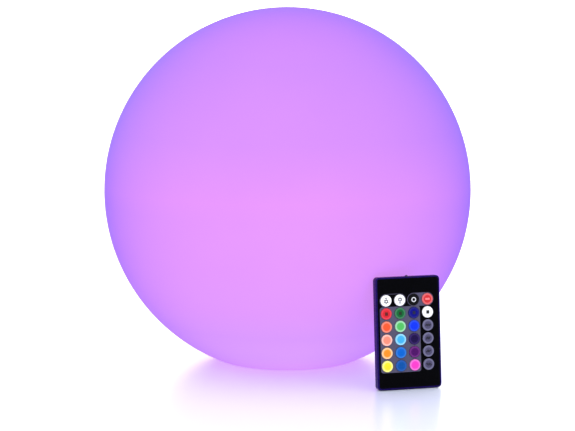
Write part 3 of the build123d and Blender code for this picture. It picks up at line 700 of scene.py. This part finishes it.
def make_printed_zones():
    """The grey zones behind the colour keys and the power keys, and an outline round the dimmers."""
    grey = ink("zone_ink", linear(76, 72, 98))
    outside = ("key_brighter", "key_dimmer", "key_off", "key_on", "key_white", *MODE_ICONS)
    colour_keys = [node for node in KEY_COLOURS if node not in outside]
    low, high = zone_corners("key_yellow", "key_blue", ZONE_MARGIN)
    printed_plate("colour_zone_print", rounded_outline(low, high, ZONE_CORNER), key_holes(colour_keys), grey)

    corner = PILL_RADIUS * PILL_ROUNDNESS
    low, high = zone_corners("key_off", "key_on", PILL_RADIUS)
    printed_plate(
        "power_zone_print", rounded_outline(low, high, corner), key_holes(["key_off", "key_on"]), grey)

    low, high = zone_corners("key_brighter", "key_dimmer", PILL_RADIUS)
    inset = Vector((OUTLINE_WIDTH, OUTLINE_WIDTH))
    inner_corner = (PILL_RADIUS - OUTLINE_WIDTH) * PILL_ROUNDNESS
    inner = rounded_outline(low + inset, high - inset, inner_corner)
    printed_plate("dimmer_outline_print", rounded_outline(low, high, corner), [inner], grey)


# ---- CAD nodes that keep their shape -------------------------------------------------------------
def paint(material, *nodes):
    """Gives CAD nodes a better material."""
    for node in nodes:
        for slot in NODES[node].material_slots:
            slot.material = material


def glossy_black(name, colour, roughness, reflection):
    """Glossy, almost black moulding with a slight waviness and a little dust in the gloss."""
    surface = Surface(name, specular_ior_level=reflection)
    dust = surface.noise(1.5 * MM, 6.0)
    surface.set("Base Color", surface.grade(dust, (0.4, colour), (0.8, shade(colour, 2.0))))
    surface.set("Roughness", surface.between(surface.noise(8 * MM, 5.0), roughness, roughness + 0.1))
    surface.bump(surface.noise(20 * MM, 2.0), 0.02 * MM)
    return surface.material


def frosted_clear():
    """Frosted clear dome."""
    surface = Surface("frosted_dome", transmission_weight=0.9, ior=1.5)
    surface.set("Base Color", surface.grade(
        surface.noise(10 * MM), (0.3, (0.9, 0.92, 0.95)), (0.7, (1, 1, 1))))
    surface.set("Roughness", surface.between(surface.noise(2 * MM), 0.3, 0.45))
    return surface.material


def paint_cad_nodes():
    """Materials for every CAD node that stays visible."""
    paint(moulded("base_plastic_look", (0.46, 0.46, 0.49), 0.42), "light_base")
    paint(moulded("silicone_look", (0.36, 0.36, 0.35), 0.55), "base_gasket", "dome_seal")
    paint(metal("ring_steel_look", (0.42, 0.42, 0.43), 0.28), "hanging_ring")
    paint(moulded("button_rubber_look", (0.05, 0.052, 0.06), 0.6), "power_button")
    paint(moulded("plug_rubber_look", (0.035, 0.035, 0.04), 0.65), "port_plug")
    paint(moulded("plunger_look", (0.5, 0.04, 0.03), 0.4), "switch_plunger")
    paint(moulded("switch_look", (0.02, 0.02, 0.02), 0.4), "tact_switch", "charging_socket")
    paint(metal("pin_look", (0.75, 0.6, 0.32), 0.2), "charging_pin", "board_spacers")
    paint(moulded("foam_look", (0.03, 0.03, 0.03), 0.85, 0.8 * MM, 0.2 * MM), "battery_pad")
    paint(moulded("pouch_look", (0.42, 0.45, 0.5), 0.3, 3 * MM, 0.1 * MM), "battery_pack")
    paint(moulded("lead_look", (0.45, 0.02, 0.015), 0.4), "battery_leads")
    paint(circuit("control_board_look", (0.01, 0.09, 0.03), (0.03, 0.2, 0.06)), "control_board")
    paint(circuit("lamp_board_look", (0.78, 0.78, 0.75), (0.6, 0.6, 0.56)), "led_board")
    paint(circuit("handset_board_look", (0.12, 0.07, 0.02), (0.4, 0.25, 0.08)), "handset_board")
    paint(moulded("chip_look", (0.015, 0.015, 0.017), 0.5), "control_chips", "handset_chips")
    paint(moulded("lamp_look", (0.85, 0.83, 0.7), 0.3), "rgb_leds")
    paint(moulded("receiver_look", (0.012, 0.01, 0.016), 0.15), "ir_receiver")
    paint(frosted_clear(), "lens_dome")
    paint(metal("screw_look", (0.5, 0.5, 0.52), 0.3), "dome_screws")
    paint(metal("contact_look", (0.65, 0.65, 0.64), 0.25), "key_contacts", "battery_contacts")
    paint(metal("cell_look", (0.62, 0.62, 0.63), 0.22), "coin_cell")
    # Painted light: the case's dark navy stands in for the ball's violet glow on a black case.
    paint(glossy_black("case_painted_glow_look", (0.006, 0.001, 0.06), 0.16, 0.07),
          "handset_front_case", "handset_back_case", "battery_tray")
    paint(glossy_black("film_look", (0.0008, 0.0008, 0.0014), 0.1, 0.02), "handset_overlay")
    paint(moulded("emitter_look", (0.03, 0.018, 0.06), 0.12), "ir_emitter")


# ---- Stage, light and camera ---------------------------------------------------------------------
FLOOR_RADII = (1.0, 3.0, 9.0)
FLOOR_SEGMENTS = 64
WORLD_MIDDLE = 1.85        # strength halfway between the bright and the dim side
WORLD_CHANGE = 0.7         # how much more it is on the bright side, and less on the dim one
BRIGHT_SIDE = Vector((-0.45, 0.9, 0)).normalized()
CAMERA_DISTANCE = 1.6625
CAMERA_HEIGHT = 0.3228
CAMERA_TILT = 7.01         # degrees down
CAMERA_LENS = 127.5        # millimetres, on a sensor 36 mm wide
SENSOR_WIDTH = 36


def make_floor():
    """A wide pale floor under the object."""
    mesh = bmesh.new()
    lathe(mesh, [(radius, 0) for radius in (0, *FLOOR_RADII)], FLOOR_SEGMENTS)
    surface = Surface("pale_floor")
    surface.set("Base Color", surface.grade(
        surface.noise(0.4), (0.3, (0.69, 0.745, 0.895)), (0.7, (0.71, 0.765, 0.915))))
    surface.set("Roughness", surface.between(surface.noise(0.2), 0.24, 0.27))
    floor = finish_mesh("floor", mesh, surface.material)


def make_world():
    """White surroundings whose strength falls evenly from behind on the left to the front right."""
    world = bpy.data.worlds.new("studio")
    bpy.context.scene.world = world
    world.use_nodes = True
    tree = world.node_tree
    direction = tree.nodes.new("ShaderNodeTexCoord")
    towards = tree.nodes.new("ShaderNodeVectorMath")
    towards.operation = "DOT_PRODUCT"
    towards.inputs[1].default_value = BRIGHT_SIDE
    strength = tree.nodes.new("ShaderNodeMapRange")
    tree.links.new(direction.outputs["Generated"], towards.inputs[0])
    tree.links.new(towards.outputs["Value"], strength.inputs["Value"])
    strength.inputs["From Min"].default_value = -1
    strength.inputs["To Min"].default_value = WORLD_MIDDLE - WORLD_CHANGE
    strength.inputs["To Max"].default_value = WORLD_MIDDLE + WORLD_CHANGE
    tree.links.new(strength.outputs["Result"], tree.nodes["Background"].inputs["Strength"])
    tree.nodes["Background"].inputs["Color"].default_value = (1, 1, 1, 1)


def make_camera():
    """The camera at the photograph's viewing angle: a long lens a little above the ball's middle."""
    data = bpy.data.cameras.new("camera")
    data.sensor_width = SENSOR_WIDTH
    data.lens = CAMERA_LENS
    camera = bpy.data.objects.new("camera", data)
    camera.location = (0, -CAMERA_DISTANCE, CAMERA_HEIGHT)
    camera.rotation_euler = (math.radians(90 - CAMERA_TILT), 0, 0)
    bpy.context.collection.objects.link(camera)
    bpy.context.scene.camera = camera
    bpy.context.scene.view_settings.view_transform = "Standard"


make_camera()
make_floor()
make_world()
make_globe()
make_keys()
make_icons()
make_printed_zones()
paint_cad_nodes()
